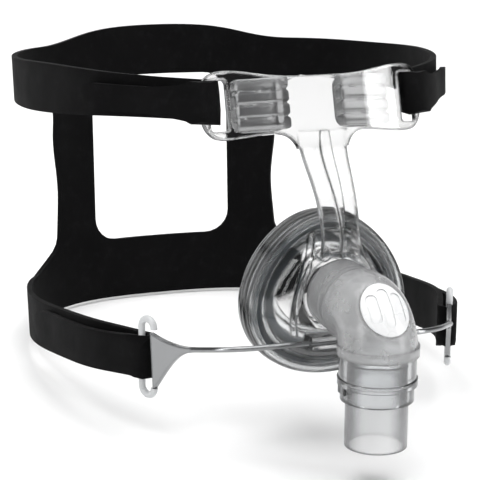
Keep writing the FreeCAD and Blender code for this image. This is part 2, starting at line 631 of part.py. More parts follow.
def plate_bar():
    """Middle of the forehead plate's right end bar, and the way the band leaves it."""
    x = PLATE_HALF_WIDTH - STRAP_BAR / 2
    depth = PLATE_CURVE_R - math.sqrt((PLATE_CURVE_R - PLATE_THICKNESS / 2) ** 2 - x ** 2)
    tilt = math.radians(PLATE_LEAN)
    place = V(x, PLATE_MID_Y + depth * math.cos(tilt), PLATE_MID_Z - depth * math.sin(tilt))
    way = V(HEAD_TOP_PLAN[0][0] - place.x, HEAD_TOP_PLAN[0][1] - place.y, 0)
    return place, way.normalize()


def clip_bar():
    """Middle of the right clip's bar, and the way the lower strap leaves it."""
    upper_z, lower_z = clip_levels()
    foot = V(FAN_JOIN_X, FAN_JOIN_Y, 0) + FAN_DIRECTION * CLIP_BAR_AT
    way = V(HEAD_LOW_PLAN[0][0] - foot.x, HEAD_LOW_PLAN[0][1] - foot.y, 0)
    return V(foot.x, foot.y, (upper_z + lower_z) / 2), way.normalize()


def front_point(bar, bar_r):
    """Start of a strap's inner layer in plan, just behind its bar."""
    place, way = bar
    inward = V(-way.y, way.x, 0)
    return V(place.x, place.y, 0) + inward * bar_offset(bar_r) + way * (LOOP_LEG / 2)


def level_curves():
    """Plan outlines of the headgear at four levels, as (z, closed-front spline) pairs.

    The straps follow their bars in front, so their levels only meet in the back panel.
    """
    top_front = front_point(plate_bar(), PLATE_BAR_R)
    low_front = front_point(clip_bar(), CLIP_WIRE_R)
    tops = [top_front] + [V(x, y, 0) for x, y in HEAD_TOP_PLAN]
    lows = [low_front] + [V(x, y, 0) for x, y in HEAD_LOW_PLAN]
    curves = []
    for z, is_top in ((HEAD_LOW_Z - 23, False), (HEAD_LOW_Z + 22, False), (HEAD_TOP_Z - 18, True),
                      (HEAD_TOP_Z + 15, True)):
        share = (z - HEAD_LOW_Z) / (HEAD_TOP_Z - HEAD_LOW_Z)
        points = []
        for index, (top, low) in enumerate(zip(tops, lows)):
            through = low + (top - low) * share
            own = V(top) if is_top else V(low)
            if is_top:
                leaning = max(0.0, 1 - 0.5 * index)
                own.y += leaning * (z - plate_bar()[0].z) * math.tan(math.radians(PLATE_LEAN))
            mix = min(1.0, max(0.0, (index - 1) / 3))
            points.append(own + (through - own) * mix)
        points += [V(-point.x, point.y, 0) for point in points[-2::-1]]
        curve = Part.BSplineCurve()
        curve.interpolate(Points=points)
        curves.append((z, curve))
    return curves


def beside(curve, z, start, end, offsets):
    """Points beside a plan outline between two lengths along it, each moved outward by its offset."""
    points = []
    for step, offset in enumerate(offsets):
        along = start + (end - start) * step / (len(offsets) - 1)
        parameter = curve.parameterAtDistance(along, curve.FirstParameter)
        tangent = curve.tangent(parameter)[0]
        point = curve.value(parameter) + V(tangent.y, -tangent.x, 0) * offset
        points.append(V(point.x, point.y, z))
    return points


def layer(levels, start, end, offsets, thickness):
    """Wall of one strap layer; lengths run from the right front, end None is the whole way round."""
    wires = []
    for z, curve in levels:
        stop = curve.length() if end is None else end
        outer = beside(curve, z, start, stop, [offset + thickness / 2 for offset in offsets])
        inner = beside(curve, z, start, stop, [offset - thickness / 2 for offset in offsets])
        wires.append(outline_between(outer, inner))
    return Part.makeLoft(wires, True, True)


def fold_round(bar, bar_r, height, lean_angle):
    """Fold of a strap round its bar, with a leg on each side that runs back along the strap."""
    place, way = bar
    inner_r = bar_r + SOFT_GAP
    outer_r = inner_r + STRAP_THICKNESS
    fold = Part.makeCylinder(outer_r, height, V(0, 0, -height / 2))
    fold = fold.cut(Part.makeCylinder(inner_r, height + 2, V(0, 0, -height / 2 - 1)))
    fold = fold.common(Part.makeBox(40, 20, height + 4, V(-20, -20, -height / 2 - 2)))
    legs = [Part.makeBox(STRAP_THICKNESS, LOOP_LEG, height, V(x, 0, -height / 2)) for x in (-outer_r, inner_r)]
    placed = fold.fuse(legs)
    placed.rotate(V(0, 0, 0), Z_AXIS, math.degrees(math.atan2(-way.x, way.y)))
    placed.rotate(V(0, 0, 0), X_AXIS, -lean_angle)
    placed.translate(place)
    return placed


def tail_outline(tip_y, front_z, tip_z, half_height):
    """Side outline of a folded tail: full height in front, narrowing to a rounded tip."""
    steps = ((0.0, 1.0), (0.45, 0.97), (0.8, 0.8), (0.95, 0.5), (1.0, 0.06))
    upper = []
    lower = []
    for share, size in steps:
        y = -20.0 + (tip_y + 20.0) * share
        middle = front_z + (tip_z - front_z) * share
        upper.append((y, middle + half_height * size))
        lower.append((y, middle - half_height * size))
    return side_prism(upper, lower)


def tail_layer(levels, bar_r, length):
    """Outer layer of a folded strap: it leaves the bar's far side and settles on the band."""
    close = STRAP_THICKNESS + LAYER_GAP
    apart = 2 * bar_offset(bar_r)
    middle = (close + apart) / 2
    return layer(levels, 0.0, length, [apart, 0.8 * apart + 0.2 * close, middle, close, close, close, close],
                 STRAP_THICKNESS)


def tab_layer(levels, length, tip_y, tip_z):
    """Hook tab between a band and the end of its tail."""
    gap_middle = (STRAP_THICKNESS + LAYER_GAP) / 2
    strip = layer(levels, length - TAB_LENGTH - TAB_FROM_TIP, length - TAB_FROM_TIP, [gap_middle] * 4, TAB_THICKNESS)
    low = tip_z - TAB_HEIGHT / 2
    return strip.common(Part.makeBox(300, 300, TAB_HEIGHT, V(0, -100, low)))


def window_cutter():
    """Rounded window of the back panel."""
    return rounded_block((-WINDOW_HALF_WIDTH, WINDOW_HALF_WIDTH), (PANEL_FRONT_Y, 260),
                         (WINDOW_BOTTOM_Z, WINDOW_TOP_Z), WINDOW_CORNER_R, Y_AXIS)


def back_panel_prism():
    """Outline of the back panel seen from behind."""
    right = [V(x, PANEL_FRONT_Y, z) for x, z in PANEL_EDGE]
    left = [V(-x, PANEL_FRONT_Y, z) for x, z in PANEL_EDGE]
    return Part.Face(outline_between(right, left)).extrude(V(0, 140, 0))


def headgear(levels):
    """The one-piece laminate: top band, back panel with its window, lower straps, folds and tails."""
    wall = layer(levels, 0.0, None, [0.0] * 24, STRAP_THICKNESS)
    outline = side_prism(TOP_BAND_UPPER, TOP_BAND_LOWER).fuse(
        [side_prism(LOW_STRAP_UPPER, LOW_STRAP_LOWER), back_panel_prism()])
    bands = wall.common(outline).cut(window_cutter())
    top_tail = tail_layer(levels[2:], PLATE_BAR_R, TOP_TAIL_LENGTH).common(
        tail_outline(TOP_TAIL_TIP[0], plate_bar()[0].z, TOP_TAIL_TIP[1], TAIL_HEIGHT / 2))
    low_tail = tail_layer(levels[:2], CLIP_WIRE_R, LOW_TAIL_LENGTH).common(
        tail_outline(LOW_TAIL_TIP[0], clip_bar()[0].z, LOW_TAIL_TIP[1], TAIL_HEIGHT / 2))
    top_fold = fold_round(plate_bar(), PLATE_BAR_R, TAIL_HEIGHT, PLATE_LEAN)
    low_fold = fold_round(clip_bar(), CLIP_WIRE_R, TAIL_HEIGHT, 0.0)
    right = [top_tail, low_tail, top_fold, low_fold]
    return bands.fuse(right + [mirror_x(piece) for piece in right])


def build():
    """Make and write every sub-part."""
    os.makedirs("parts", exist_ok=True)
    save("mask_frame", mask_frame())
    save("seal_cushion", seal_cushion())
    save("inner_cushion", inner_cushion())
    save("elbow", elbow())
    save("vent_cap", vent_cap())
    save("diffuser_pad", diffuser_pad())
    save("swivel_collar", swivel_collar())
    save("connector_tube", connector_tube())
    save("glider", glider())
    levels = level_curves()
    save("headgear", headgear(levels))
    pairs = {
        "forehead_pad": forehead_pad(),
        "strap_clip": strap_clip(),
        "top_hook_tab": tab_layer(levels[2:], TOP_TAIL_LENGTH, *TOP_TAIL_TIP),
        "lower_hook_tab": tab_layer(levels[:2], LOW_TAIL_LENGTH, *LOW_TAIL_TIP),
    }
    for name, shape in pairs.items():
        save(name + "_right", shape)
        save(name + "_left", mirror_x(shape))


build()
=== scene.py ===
"""Nasal breathing mask with its headgear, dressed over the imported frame.

Sizes of the pieces are in millimetres and turned into metres when a mesh is made; the studio's
are in metres.
+Z is up along the face, +Y towards the back of the head, and -Y is out of the face.
"""

import json
import logging
import math
from dataclasses import dataclass, field
from enum import Enum
from typing import Sequence

import bmesh
import bpy
import numpy as np
from mathutils import Matrix, Vector
from mathutils.geometry import delaunay_2d_cdt

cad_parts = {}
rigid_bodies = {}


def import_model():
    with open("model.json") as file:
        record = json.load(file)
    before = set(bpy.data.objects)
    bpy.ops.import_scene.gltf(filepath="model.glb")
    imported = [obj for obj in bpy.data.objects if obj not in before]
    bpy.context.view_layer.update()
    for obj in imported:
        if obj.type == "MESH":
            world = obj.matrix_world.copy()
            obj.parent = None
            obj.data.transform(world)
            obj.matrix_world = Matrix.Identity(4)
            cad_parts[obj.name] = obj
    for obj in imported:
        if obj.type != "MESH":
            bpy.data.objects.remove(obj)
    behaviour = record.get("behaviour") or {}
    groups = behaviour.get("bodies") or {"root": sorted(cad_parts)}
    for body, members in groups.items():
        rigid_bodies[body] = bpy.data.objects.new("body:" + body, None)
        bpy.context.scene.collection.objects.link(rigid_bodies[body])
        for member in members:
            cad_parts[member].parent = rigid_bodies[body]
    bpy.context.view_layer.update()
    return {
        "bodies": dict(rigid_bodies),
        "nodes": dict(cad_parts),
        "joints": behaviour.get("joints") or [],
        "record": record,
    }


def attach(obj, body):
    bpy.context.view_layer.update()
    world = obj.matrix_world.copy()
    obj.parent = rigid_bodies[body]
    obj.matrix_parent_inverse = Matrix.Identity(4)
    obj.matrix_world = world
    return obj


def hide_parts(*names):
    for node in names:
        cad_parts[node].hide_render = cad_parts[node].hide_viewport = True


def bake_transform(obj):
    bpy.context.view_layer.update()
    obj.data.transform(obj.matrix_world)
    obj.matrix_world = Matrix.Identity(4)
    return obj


LOG = logging.getLogger("mask")
MM = 0.001

ROW_SHARE = 0.87                 # distance of two rows of the laminate's mesh over its pitch
EDGE_SHARE = 0.55                # room left beside an outline over the pitch
TIP_FROM = 0.82                  # share of a tail's length where its rounded tip begins

Point2 = tuple[float, float]
Point3 = tuple[float, float, float]
Face = tuple[int, ...]
MeshData = tuple[list[Point3], list[Face]]
Band = tuple[list[Point2], list[Point2]]
Tree = bpy.types.NodeTree
Node = bpy.types.Node
Socket = bpy.types.NodeSocket


class Side(Enum):
    """The wearer's left is +X, the right as seen from the front."""

    RIGHT = 1
    LEFT = -1

    @property
    def word(self) -> str:
        """Name ending that the frame's nodes use for this side."""
        return "right" if self is Side.RIGHT else "left"


class Body(str, Enum):
    """Moving bodies of the frame."""

    MASK = "mask"
    GLIDER = "glider_bar"
    ELBOW = "elbow_unit"
    HOSE = "hose_end"


# Shared node groups


def _group(name: str, inputs: Sequence[tuple[str, float]],
           outputs: Sequence[str]) -> tuple[Tree, bool]:
    """Find or start a shader node group with float sockets.

    Args:
        name: Name of the group.
        inputs: Names and default values of its inputs.
        outputs: Names of its outputs.

    Returns:
        The group, and True when it was made just now and is still empty.
    """
    known = bpy.data.node_groups.get(name)
    if known:
        return known, False
    tree = bpy.data.node_groups.new(name, "ShaderNodeTree")
    for label, value in inputs:
        socket = tree.interface.new_socket(label, in_out="INPUT", socket_type="NodeSocketFloat")
        socket.default_value = value
    for label in outputs:
        tree.interface.new_socket(label, in_out="OUTPUT", socket_type="NodeSocketFloat")
    return tree, True


def _node(tree: Tree, kind: str, **settings: object) -> Node:
    """Add a node; settings name its properties, or its inputs where a property isn't meant.

    Args:
        tree: Tree that gets the node.
        kind: Blender's node type.
        settings: Property values, or input values under the input's name with underscores.

    Returns:
        The new node.
    """
    node = tree.nodes.new(kind)
    for key, value in settings.items():
        label = key.replace("_", " ").title()
        if hasattr(node, key):
            setattr(node, key, value)
        else:
            node.inputs[label].default_value = value
    return node


def _ranged(tree: Tree, value: Socket, limits: Point2, wanted: Point2 = (0.0, 1.0)) -> Socket:
    """Carry a value over from one range to another, held at its ends."""
    node = _node(tree, "ShaderNodeMapRange")
    for label, limit in zip(("From Min", "From Max", "To Min", "To Max"), (*limits, *wanted)):
        node.inputs[label].default_value = limit
    tree.links.new(value, node.inputs["Value"])
    return node.outputs["Result"]


def fine_grain_group() -> Tree:
    """Moulded or worn surface: a slow unevenness and a fine grain, both from 0 to 1."""
    scales = [("Coarse Scale", 60.0), ("Fine Scale", 900.0)]
    tree, fresh = _group("fine_grain", scales, ["Uneven", "Grain", "Height"])
    if not fresh:
        return tree
    start = _node(tree, "NodeGroupInput")
    end = _node(tree, "NodeGroupOutput")
    place = _node(tree, "ShaderNodeTexCoord")
    coarse = _node(tree, "ShaderNodeTexNoise", Detail=3.0, Roughness=0.55)
    fine = _node(tree, "ShaderNodeTexNoise", Detail=2.0, Roughness=0.6)
    mix = _node(tree, "ShaderNodeMath", operation="MULTIPLY_ADD")
    mix.inputs[1].default_value = 0.25
    for noise, label in ((coarse, "Coarse Scale"), (fine, "Fine Scale")):
        tree.links.new(place.outputs["Object"], noise.inputs["Vector"])
        tree.links.new(start.outputs[label], noise.inputs["Scale"])
    tree.links.new(fine.outputs["Fac"], mix.inputs[0])
    tree.links.new(coarse.outputs["Fac"], mix.inputs[2])
    tree.links.new(coarse.outputs["Fac"], end.inputs["Uneven"])
    tree.links.new(fine.outputs["Fac"], end.inputs["Grain"])
    tree.links.new(mix.outputs[0], end.inputs["Height"])
    return tree


def knit_group() -> Tree:
    """Fine knit of a laminated fabric: crossing ribs as a height, and a lint mask."""
    tree, fresh = _group("knit", [("Pitch", 900.0), ("Lint Scale", 220.0)], ["Height", "Lint"])
    if not fresh:
        return tree
    start = _node(tree, "NodeGroupInput")
    end = _node(tree, "NodeGroupOutput")
    place = _node(tree, "ShaderNodeTexCoord")
    across = _node(tree, "ShaderNodeTexWave", bands_direction="Z", Distortion=1.2)
    along = _node(tree, "ShaderNodeTexWave", bands_direction="Y", Distortion=1.2)
    lint = _node(tree, "ShaderNodeTexNoise", Detail=4.0, Roughness=0.7)
    height = _node(tree, "ShaderNodeMath", operation="MULTIPLY")
    for wave in (across, along):
        tree.links.new(place.outputs["Object"], wave.inputs["Vector"])
        tree.links.new(start.outputs["Pitch"], wave.inputs["Scale"])
    tree.links.new(place.outputs["Object"], lint.inputs["Vector"])
    tree.links.new(start.outputs["Lint Scale"], lint.inputs["Scale"])
    tree.links.new(across.outputs["Fac"], height.inputs[0])
    tree.links.new(along.outputs["Fac"], height.inputs[1])
    tree.links.new(height.outputs[0], end.inputs["Height"])
    tree.links.new(_ranged(tree, lint.outputs["Fac"], (0.52, 0.78)), end.inputs["Lint"])
    return tree


# Finishes


@dataclass(frozen=True)
class Finish:
    """A finish that a piece can be given; the slot is its name in the record."""

    slot: str

    @property
    def name(self) -> str:
        """Name of the material, apart from the frame's own plain one."""
        return "finish_" + self.slot

    def _start(self) -> tuple[bpy.types.Material, Tree, Node]:
        """Empty material with only the Principled shader and the output."""
        material = bpy.data.materials.new(self.name)
        material.use_nodes = True
        tree = material.node_tree
        return material, tree, tree.nodes["Principled BSDF"]

    def _bump(self, tree: Tree, shader: Node, height: Socket, depth_mm: float,
              soften_mm: float = 0.0) -> None:
        """Feed a height into the shader's normal, over edges softened by a small radius."""
        bump = _node(tree, "ShaderNodeBump", Distance=depth_mm * MM, Strength=1.0)
        tree.links.new(height, bump.inputs["Height"])
        if soften_mm:
            bevel = _node(tree, "ShaderNodeBevel", samples=4, Radius=soften_mm * MM)
            tree.links.new(bevel.outputs["Normal"], bump.inputs["Normal"])
        tree.links.new(bump.outputs["Normal"], shader.inputs["Normal"])

    def _rough_from(self, tree: Tree, shader: Node, value: Socket, low: float, high: float) -> None:
        """Let the middle of a 0 to 1 value move the roughness between two limits."""
        tree.links.new(_ranged(tree, value, (0.3, 0.7), (low, high)), shader.inputs["Roughness"])

    def build(self) -> bpy.types.Material:
        """Make the material once, or give the one made before."""
        return bpy.data.materials.get(self.name) or self.make()

    def make(self) -> bpy.types.Material:
        """Make the material."""
        raise NotImplementedError


@dataclass(frozen=True)
class ClearMoulding(Finish):
    """Clear or hazy moulded plastic or silicone, its colour painted dark (painted shade) where it is seen
    edge-on.
    """

    tint: tuple[float, float, float] = (0.8, 0.8, 0.8)
    rough: tuple[float, float] = (0.0, 0.02)
    ior: float = 1.55
    transmission: float = 1.0
    ripple_mm: float = 0.012
    soften_mm: float = 1.5
    coarse: float = 90.0
    # edge is the colour of the painted shade at grazing view; the next two numbers say where along the facing
    # it begins and where it is full
    edge: tuple[float, float, float] = (0.03, 0.032, 0.034)
    shade_from: float = 0.14
    shade_full: float = 0.55

    def make(self) -> bpy.types.Material:
        """Transmissive shader with slow moulding ripples; its colour is painted dark where it is seen along
        its wall or across its softened edges, as painted shade.
        """
        material, tree, shader = self._start()
        along = _node(tree, "ShaderNodeLayerWeight", Blend=0.5)
        bevel = _node(tree, "ShaderNodeBevel", samples=4, Radius=self.soften_mm * MM)
        # painted shade: the ramp turns the tint into the dark edge colour as the softened normal turns away
        # from the view
        edge_shade_ramp = _node(tree, "ShaderNodeValToRGB")
        edge_shade_ramp.color_ramp.elements[0].position = self.shade_from
        edge_shade_ramp.color_ramp.elements[0].color = (*self.tint, 1.0)
        edge_shade_ramp.color_ramp.elements[1].position = self.shade_full
        edge_shade_ramp.color_ramp.elements[1].color = (*self.edge, 1.0)
        tree.links.new(bevel.outputs["Normal"], along.inputs["Normal"])
        tree.links.new(along.outputs["Facing"], edge_shade_ramp.inputs["Fac"])
        tree.links.new(edge_shade_ramp.outputs["Color"], shader.inputs["Base Color"])
        shader.inputs["IOR"].default_value = self.ior
        shader.inputs["Transmission Weight"].default_value = self.transmission
        grain = _node(tree, "ShaderNodeGroup", node_tree=fine_grain_group(), Coarse_Scale=self.coarse)
        self._rough_from(tree, shader, grain.outputs["Uneven"], *self.rough)
        self._bump(tree, shader, grain.outputs["Height"], self.ripple_mm, self.soften_mm)
        return material


@dataclass(frozen=True)
class PolishedSteel(Finish):
    """Polished stainless steel with faint drawing lines."""

    colour: tuple[float, float, float] = (0.27, 0.275, 0.28)

    def make(self) -> bpy.types.Material:
        """Metal whose gloss varies with handling marks."""
        material, tree, shader = self._start()
        shader.inputs["Base Color"].default_value = (*self.colour, 1.0)
        shader.inputs["Metallic"].default_value = 1.0
        grain = _node(tree, "ShaderNodeGroup", node_tree=fine_grain_group(), Coarse_Scale=140.0,
                      Fine_Scale=2600.0)
        self._rough_from(tree, shader, grain.outputs["Uneven"], 0.08, 0.2)
        self._bump(tree, shader, grain.outputs["Grain"], 0.004, 1.2)
        return material


@dataclass(frozen=True)
class GlossPlastic(Finish):
    """Opaque or milky glossy plastic."""

    colour: tuple[float, float, float] = (0.86, 0.87, 0.88)
    milky: float = 0.0
    rough: tuple[float, float] = (0.12, 0.28)
    soften_mm: float = 0.3

    def make(self) -> bpy.types.Material:
        """Glossy coat over a plain colour, some light let through."""
        material, tree, shader = self._start()
        shader.inputs["Base Color"].default_value = (*self.colour, 1.0)
        shader.inputs["Transmission Weight"].default_value = self.milky
        shader.inputs["IOR"].default_value = 1.49
        grain = _node(tree, "ShaderNodeGroup", node_tree=fine_grain_group())
        self._rough_from(tree, shader, grain.outputs["Uneven"], *self.rough)
        self._bump(tree, shader, grain.outputs["Height"], 0.015, self.soften_mm)
        return material


@dataclass(frozen=True)
class Laminate(Finish):
    """Black knit-faced laminate of the headgear."""

    dark: tuple[float, float, float] = (0.0016, 0.0016, 0.0018)
    light: tuple[float, float, float] = (0.005, 0.005, 0.0055)
    rough: tuple[float, float] = (0.7, 0.85)

    def make(self) -> bpy.types.Material:
        """Near-black cloth with a fine knit, a little lint and a soft sheen."""
        material, tree, shader = self._start()
        knit = _node(tree, "ShaderNodeGroup", node_tree=knit_group())
        grain = _node(tree, "ShaderNodeGroup", node_tree=fine_grain_group())
        mix = _node(tree, "ShaderNodeMix", data_type="RGBA")
        mix.inputs["A"].default_value = (*self.dark, 1.0)
        mix.inputs["B"].default_value = (*self.light, 1.0)
        tree.links.new(knit.outputs["Lint"], mix.inputs["Factor"])
        tree.links.new(mix.outputs["Result"], shader.inputs["Base Color"])
        shader.inputs["Sheen Weight"].default_value = 0.01
        shader.inputs["Sheen Roughness"].default_value = 0.45
        shader.inputs["Specular IOR Level"].default_value = 0.08
        self._rough_from(tree, shader, grain.outputs["Uneven"], *self.rough)
        self._bump(tree, shader, knit.outputs["Height"], 0.03)
        return material


@dataclass(frozen=True)
class Felt(Finish):
    """Felted or hooked surface: fibre pad and hook tape."""

    colour: tuple[float, float, float] = (0.85, 0.85, 0.85)
    depth_mm: float = 0.2

    def make(self) -> bpy.types.Material:
        """Matt, rough surface with a deep fine grain."""
        material, tree, shader = self._start()
        shader.inputs["Base Color"].default_value = (*self.colour, 1.0)
        grain = _node(tree, "ShaderNodeGroup", node_tree=fine_grain_group(), Fine_Scale=2200.0)
        self._rough_from(tree, shader, grain.outputs["Uneven"], 0.75, 0.95)
        self._bump(tree, shader, grain.outputs["Grain"], self.depth_mm)
        return material


# Each clear finish below paints shade into its colour: it turns to its edge colour (painted shade) where it
# is seen edge-on.
CLEAR = ClearMoulding("clear_plastic")
COLLAR_CLEAR = ClearMoulding("collar_plastic", tint=(0.95, 0.96, 0.97), rough=(0.01, 0.04), soften_mm=0.4)
SILICONE = ClearMoulding("clear_silicone", tint=(0.9, 0.915, 0.92), rough=(0.05, 0.14), ior=1.42,
                         ripple_mm=0.05)
PAD_SILICONE = ClearMoulding("pad_silicone", tint=(0.8, 0.805, 0.81), rough=(0.1, 0.24), ior=1.42,
                             transmission=0.7, ripple_mm=0.05, soften_mm=0.4, edge=(0.25, 0.255, 0.26),
                             shade_from=0.4)
FROSTED = ClearMoulding("frosted_plastic", tint=(0.72, 0.725, 0.73), rough=(0.14, 0.32), ior=1.45,
                        transmission=0.72, ripple_mm=0.06, edge=(0.34, 0.34, 0.35), shade_from=0.35,
                        shade_full=0.95)
HAZY = ClearMoulding("hazy_plastic", tint=(0.86, 0.865, 0.87), rough=(0.12, 0.22), ior=1.45,
                     transmission=0.9, edge=(0.2, 0.2, 0.21))
GREY_FOAM = GlossPlastic("grey_foam", colour=(0.2, 0.24, 0.27), milky=0.45, rough=(0.3, 0.45))
WHITE_PLASTIC = GlossPlastic("white_plastic", colour=(0.6, 0.61, 0.62), milky=0.1)
VENT_PLASTIC = GlossPlastic("vent_plastic", colour=(0.78, 0.785, 0.79), milky=0.1, rough=(0.2, 0.36))
STEEL = PolishedSteel("polished_steel")
LAMINATE = Laminate("black_laminate")
HOOK_TAPE = Felt("hook_tape", colour=(0.015, 0.015, 0.015), depth_mm=0.3)
FIBRE = Felt("white_fibre", colour=(0.9, 0.9, 0.89))


# Mesh helpers


def make_object(name: str, verts: Sequence[Sequence[float]], faces: Sequence[Sequence[int]], finish: Finish,
                smooth: bool = True) -> bpy.types.Object:
    """Make a mesh object from millimetre points, with consistent outward faces.

    Args:
        name: Name of the piece.
        verts: Points in millimetres.
        faces: Faces as point numbers.
        finish: Finish of the whole piece.
        smooth: Whether the faces are shaded smooth.

    Returns:
        The new object, linked to the scene.
    """
    mesh = bpy.data.meshes.new(name)
    mesh.from_pydata([tuple(c * MM for c in v) for v in verts], [], [list(f) for f in faces])
    mesh.validate()
    work = bmesh.new()
    work.from_mesh(mesh)
    bmesh.ops.recalc_face_normals(work, faces=work.faces)
    work.to_mesh(mesh)
    work.free()
    for polygon in mesh.polygons:
        polygon.use_smooth = smooth
    mesh.materials.append(finish.build())
    piece = bpy.data.objects.new(name, mesh)
    bpy.context.scene.collection.objects.link(piece)
    return piece


def apply_modifiers(piece: bpy.types.Object) -> bpy.types.Object:
    """Put the piece's modifiers into its mesh.

    Args:
        piece: Object with modifiers.

    Returns:
        The same object with a final mesh and no modifiers.
    """
    bpy.context.view_layer.update()
    graph = bpy.context.evaluated_depsgraph_get()
    mesh = bpy.data.meshes.new_from_object(piece.evaluated_get(graph))
    piece.modifiers.clear()
    old = piece.data
    piece.data = mesh
    mesh.name = piece.name
    bpy.data.meshes.remove(old)
    return piece


def add_thickness(piece: bpy.types.Object, thickness_mm: float) -> None:
    """Give a surface a thickness that lies half on each side of it."""
    thick = piece.modifiers.new("thickness", "SOLIDIFY")
    thick.thickness = thickness_mm * MM
    thick.offset = 0.0


def finish_piece(piece: bpy.types.Object, body: Body, node: str) -> None:
    """Let a new piece ride on its body and stand for its node.

    Args:
        piece: The new piece.
        body: Body that carries it.
        node: Frame node that it stands for.
    """
    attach(piece, body.value)
    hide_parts(node)
    LOG.info("%s on %s, %d faces", piece.name, body.value, len(piece.data.polygons))


def egg_point(half_width: float, half_height: float, angle: float, taper: float) -> Point2:
    """Point of an egg outline that is narrower at the top, as x and z."""
    across = half_width * math.cos(angle) * (1 - taper * math.sin(angle))
    return across, half_height * math.sin(angle)


def swept_egg(profile: Sequence[Point2], half_width: float, half_height: float, taper: float,
              around: int) -> MeshData:
    """Closed ring from a closed profile that follows an egg outline.

    Args:
        profile: Points as (y, distance outside the egg outline).
        half_width: Half width of the egg outline.
        half_height: Half height of the egg outline.
        taper: Share by which its top is narrower.
        around: Number of steps round the ring.

    Returns:
        Points and faces.
    """
    verts: list[Point3] = []
    faces: list[Face] = []
    count = len(profile)
    for step in range(around):
        angle = 2 * math.pi * step / around
        for y, out in profile:
            x, z = egg_point(half_width + out, half_height + out, angle, taper)
            verts.append((x, y, z))
    for step in range(around):
        here = step * count
        there = ((step + 1) % around) * count
        for index in range(count):
            after = (index + 1) % count
            faces.append((here + index, here + after, there + after, there + index))
    return verts, faces


# Seal and inner cushion


@dataclass
class Seal:
    """Clear silicone seal round the nose and the soft ring inside it."""

    rim_half_width: float = 28.8
    rim_half_height: float = 28.4
    taper: float = 0.16
    around: int = 56
    lip_y: float = -28.4
    depth_share: float = 0.905   # depth of the seal over the depth that the profiles are drawn at
    wall_profile: list[Point2] = field(default_factory=lambda: [
        (-28.3, -1.0), (-28.4, 0.4), (-27.9, 1.5), (-26.9, 1.35), (-26.2, 2.0), (-24.4, 2.1), (-23.6, 1.6),
        (-22.6, 2.3), (-20.2, 2.5), (-19.3, 2.0), (-18.2, 2.5), (-15.6, 2.2), (-14.8, 1.6), (-13.6, 1.9),
        (-10.8, 0.9), (-9.9, 0.1), (-8.6, 0.0), (-6.4, -1.6), (-4.2, -3.8), (-2.4, -6.6), (-1.7, -9.6),
        (-2.1, -12.2), (-3.6, -13.4), (-5.2, -13.0), (-5.0, -11.4), (-3.7, -9.4), (-4.1, -6.9), (-5.8, -4.6),
        (-8.2, -2.6), (-11.6, -0.9), (-16.0, 0.5), (-21.0, 0.85), (-25.6, 0.7), (-26.75, 0.3),
        (-26.95, -1.0)])
    ring_profile: list[Point2] = field(default_factory=lambda: [
        (-23.4, -1.4), (-22.8, -1.0), (-18.0, -0.9), (-13.0, -1.6), (-10.4, -3.6), (-10.0, -5.6),
        (-10.9, -7.7), (-14.0, -8.3), (-19.0, -8.4), (-22.8, -8.2), (-23.4, -7.4)])

    def build(self) -> None:
        """Make both rings."""
        for name, profile, finish, node in (
                ("seal_membrane", self.wall_profile, SILICONE, "seal_cushion"),
                ("inner_gel_ring", self.ring_profile, GREY_FOAM, "inner_cushion")):
            profile = [(self.lip_y + (y - self.lip_y) * self.depth_share, out) for y, out in profile]
            verts, faces = swept_egg(profile, self.rim_half_width, self.rim_half_height, self.taper,
                                     self.around)
            piece = make_object(name, verts, faces, finish)
            piece.modifiers.new("round", "SUBSURF").levels = 2
            apply_modifiers(piece)
            finish_piece(piece, Body.MASK, node)


# Forehead pads


